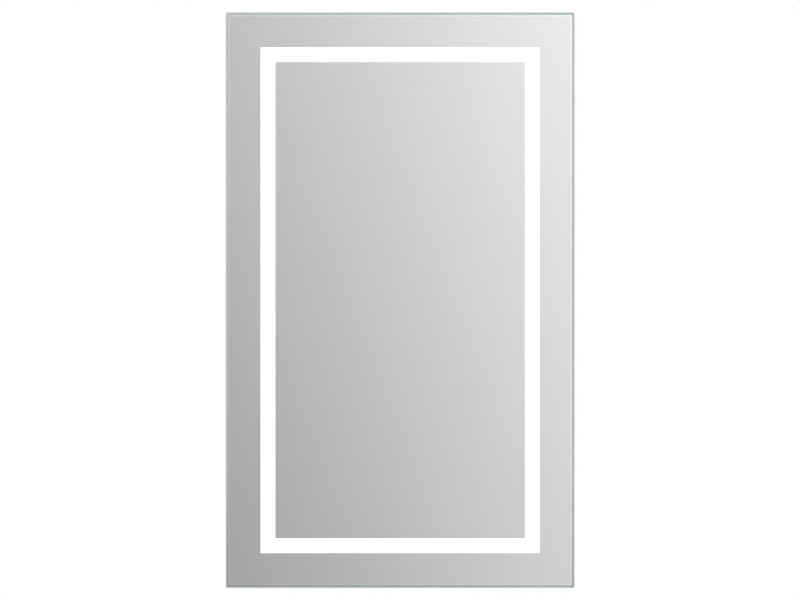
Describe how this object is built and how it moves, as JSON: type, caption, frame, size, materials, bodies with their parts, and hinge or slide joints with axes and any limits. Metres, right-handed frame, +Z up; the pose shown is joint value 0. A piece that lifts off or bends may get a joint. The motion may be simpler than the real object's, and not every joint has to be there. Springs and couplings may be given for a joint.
{
  "type": "lighted bathroom mirror",
  "caption": "Upright rectangular wall mirror with a lit frosted band set in from its edges, on a slim metal frame that hooks over a wall rail, with a rocker switch underneath.",
  "frame": {"origin": "on the wall plane, at the middle of the wall rail's line of screw holes", "axes": "+Z up; +Y into the wall; -Y out of the wall, towards whoever looks into the mirror; +X to that person's right"},
  "size_m": [0.6, 0.04, 0.99],
  "materials": {
    "float_glass": "clear float glass, polished edge, sandblasted band",
    "silvering": "silvered",
    "foam_tape": "closed-cell foam",
    "anodised_aluminium": "satin anodised",
    "opal_acrylic": "opal, lit",
    "light_board_white": "white solder mask on aluminium",
    "diode_phosphor": "phosphor in a white package",
    "powder_coated_steel": "fine-texture powder coat",
    "galvanised_steel": "galvanised",
    "zinc_screw": "zinc plated",
    "black_rubber": "moulded",
    "white_polycarbonate": "moulded, fine spark texture",
    "white_polyamide": "moulded",
    "white_abs": "moulded",
    "brass_terminal": "tin-washed brass",
    "green_circuit_board": "glass-epoxy laminate",
    "moulded_component": "moulded and wound components",
    "white_lead_sheath": "extruded",
    "brown_core": "extruded",
    "blue_core": "extruded",
    "black_core": "extruded",
    "red_core": "extruded"
  },
  "bodies": {
    "wall_rail": {"wall_rail": "galvanised_steel"},
    "mirror": {"access_plate": "powder_coated_steel", "access_plate_screws": "zinc_screw", "back_cover": "powder_coated_steel", "back_cover_screws": "zinc_screw", "board_tape": "foam_tape", "cable_clamp": "white_polyamide", "cable_clamp_screws": "zinc_screw", "corner_brackets": "galvanised_steel", "corner_screws": "zinc_screw", "diffuser_bottom": "opal_acrylic", "diffuser_left": "opal_acrylic", "diffuser_right": "opal_acrylic", "diffuser_top": "opal_acrylic", "driver_board": "green_circuit_board", "driver_case": "white_polycarbonate", "driver_components": "moulded_component", "driver_lid": "white_polycarbonate", "driver_screws": "zinc_screw", "earth_nut_and_washer": "brass_terminal", "earth_stud": "brass_terminal", "frame_rail_bottom": "anodised_aluminium", "frame_rail_left": "anodised_aluminium", "frame_rail_right": "anodised_aluminium", "frame_rail_top": "anodised_aluminium", "glass_pane": "float_glass", "hanger_rail": "galvanised_steel", "hanger_screws": "zinc_screw", "inlet_grommet": "black_rubber", "jumper_leads_negative": "black_core", "jumper_leads_positive": "red_core", "lead_bushes": "black_rubber", "lead_clips": "white_polyamide", "light_board_bottom": "light_board_white", "light_board_left": "light_board_white", "light_board_right": "light_board_white", "light_board_top": "light_board_white", "light_chips_bottom": "diode_phosphor", "light_chips_left": "diode_phosphor", "light_chips_right": "diode_phosphor", "light_chips_top": "diode_phosphor", "light_connector": "white_polyamide", "light_lead": "white_lead_sheath", "line_cores": "brown_core", "mounting_tape": "foam_tape", "neutral_core": "blue_core", "silvering_border": "silvering", "silvering_centre": "silvering", "supply_lead": "white_lead_sheath", "switch_cores": "brown_core", "switch_housing": "white_abs", "switch_lead": "white_lead_sheath", "switch_terminals": "brass_terminal", "switched_cores": "black_core", "terminal_block": "white_polyamide", "terminal_block_screws": "zinc_screw", "terminal_clamp_screws": "brass_terminal", "wall_bumpers": "black_rubber", "wiring_box": "galvanised_steel"},
    "rocker": {"rocker": "white_abs"}
  },
  "joints": [
    {"name": "lift_off", "type": "slide", "parent": "wall_rail", "child": "mirror", "axis": [0, 0, 1], "range_m": [0, 0.014]},
    {"name": "rocker_tilt", "type": "hinge", "parent": "mirror", "child": "rocker", "pos_m": [0.16, -0.0225, -0.843], "axis": [0, 1, 0], "range_deg": [0, 18]}
  ]
}
